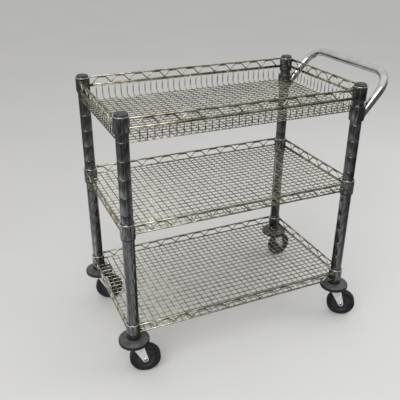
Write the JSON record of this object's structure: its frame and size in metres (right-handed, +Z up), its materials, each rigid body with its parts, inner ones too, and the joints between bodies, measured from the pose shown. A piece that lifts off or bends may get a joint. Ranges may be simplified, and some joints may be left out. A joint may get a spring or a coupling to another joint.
{
  "type": "wire shelf cart",
  "caption": "Rolling utility cart: wire shelves in zigzag rims between grooved round posts, a basket on top, a bent push handle at one end and swivel casters under round bumpers.",
  "frame": {"origin": "on the floor, under the middle of the cart's bounding box with its handle and casters", "axes": "+X along the cart towards the push handle, +Y across it to the rear side, +Z up"},
  "size_m": [0.8972, 0.5096, 0.8509],
  "materials": {
    "post_chrome": "bright chrome plate with fine scuffs",
    "wire_nickel": "warm nickel-chrome plated wire",
    "handle_chrome": "polished chrome tube",
    "black_plastic": "moulded, satin",
    "sleeve_plastic": "moulded, matt",
    "bumper_rubber": "dusty grey moulded rubber",
    "zinc_steel": "zinc-plated pressed steel",
    "tyre_rubber": "smooth black tread",
    "hub_plastic": "moulded, matt"
  },
  "bodies": {
    "cart_frame": {"post_front_left": "post_chrome", "post_front_right": "post_chrome", "post_rear_left": "post_chrome", "post_rear_right": "post_chrome", "post_cap_front_left": "black_plastic", "post_cap_front_right": "black_plastic", "post_cap_rear_left": "black_plastic", "post_cap_rear_right": "black_plastic", "sleeve_top_front_left": "sleeve_plastic", "sleeve_top_front_right": "sleeve_plastic", "sleeve_top_rear_left": "sleeve_plastic", "sleeve_top_rear_right": "sleeve_plastic", "sleeve_middle_front_left": "sleeve_plastic", "sleeve_middle_front_right": "sleeve_plastic", "sleeve_middle_rear_left": "sleeve_plastic", "sleeve_middle_rear_right": "sleeve_plastic", "sleeve_bottom_front_left": "sleeve_plastic", "sleeve_bottom_front_right": "sleeve_plastic", "sleeve_bottom_rear_left": "sleeve_plastic", "sleeve_bottom_rear_right": "sleeve_plastic", "shelf_top_deck": "wire_nickel", "shelf_top_rim_front": "wire_nickel", "shelf_top_rim_rear": "wire_nickel", "shelf_top_rim_left": "wire_nickel", "shelf_top_rim_right": "wire_nickel", "shelf_middle_deck": "wire_nickel", "shelf_middle_rim_front": "wire_nickel", "shelf_middle_rim_rear": "wire_nickel", "shelf_middle_rim_left": "wire_nickel", "shelf_middle_rim_right": "wire_nickel", "shelf_bottom_deck": "wire_nickel", "shelf_bottom_rim_front": "wire_nickel", "shelf_bottom_rim_rear": "wire_nickel", "shelf_bottom_rim_left": "wire_nickel", "shelf_bottom_rim_right": "wire_nickel", "push_handle": "handle_chrome", "bumper_front_left": "bumper_rubber", "caster_stem_front_left": "zinc_steel", "bumper_front_right": "bumper_rubber", "caster_stem_front_right": "zinc_steel", "bumper_rear_left": "bumper_rubber", "caster_stem_rear_left": "zinc_steel", "bumper_rear_right": "bumper_rubber", "caster_stem_rear_right": "zinc_steel"},
    "front_left_fork": {"caster_fork_front_left": "zinc_steel", "caster_axle_front_left": "zinc_steel"},
    "front_left_wheel": {"wheel_hub_front_left": "hub_plastic", "wheel_tyre_front_left": "tyre_rubber"},
    "front_right_fork": {"caster_fork_front_right": "zinc_steel", "caster_axle_front_right": "zinc_steel"},
    "front_right_wheel": {"wheel_hub_front_right": "hub_plastic", "wheel_tyre_front_right": "tyre_rubber"},
    "rear_left_fork": {"caster_fork_rear_left": "zinc_steel", "caster_axle_rear_left": "zinc_steel"},
    "rear_left_wheel": {"wheel_hub_rear_left": "hub_plastic", "wheel_tyre_rear_left": "tyre_rubber"},
    "rear_right_fork": {"caster_fork_rear_right": "zinc_steel", "caster_axle_rear_right": "zinc_steel"},
    "rear_right_wheel": {"wheel_hub_rear_right": "hub_plastic", "wheel_tyre_rear_right": "tyre_rubber"}
  },
  "joints": [
    {"name": "front_left_swivel", "type": "hinge", "parent": "cart_frame", "child": "front_left_fork", "pos_m": [-0.40203, -0.20082, 0.106], "axis": [0, 0, 1], "continuous": true},
    {"name": "front_left_roll", "type": "hinge", "parent": "front_left_fork", "child": "front_left_wheel", "pos_m": [-0.37195, -0.20832, 0.0475], "axis": [0.2419, 0.9703, 0], "continuous": true},
    {"name": "front_right_swivel", "type": "hinge", "parent": "cart_frame", "child": "front_right_fork", "pos_m": [0.32397, -0.20082, 0.106], "axis": [0, 0, 1], "continuous": true},
    {"name": "front_right_roll", "type": "hinge", "parent": "front_right_fork", "child": "front_right_wheel", "pos_m": [0.34936, -0.2186, 0.0475], "axis": [0.5736, 0.8192, 0], "continuous": true},
    {"name": "rear_left_swivel", "type": "hinge", "parent": "cart_frame", "child": "rear_left_fork", "pos_m": [-0.40203, 0.20818, 0.106], "axis": [0, 0, 1], "continuous": true},
    {"name": "rear_left_roll", "type": "hinge", "parent": "rear_left_fork", "child": "rear_left_wheel", "pos_m": [-0.37255, 0.1986, 0.0475], "axis": [0.309, 0.9511, 0], "continuous": true},
    {"name": "rear_right_swivel", "type": "hinge", "parent": "cart_frame", "child": "rear_right_fork", "pos_m": [0.32397, 0.20818, 0.106], "axis": [0, 0, 1], "continuous": true},
    {"name": "rear_right_roll", "type": "hinge", "parent": "rear_right_fork", "child": "rear_right_wheel", "pos_m": [0.3545, 0.21356, 0.0475], "axis": [-0.1736, 0.9848, 0], "continuous": true}
  ]
}
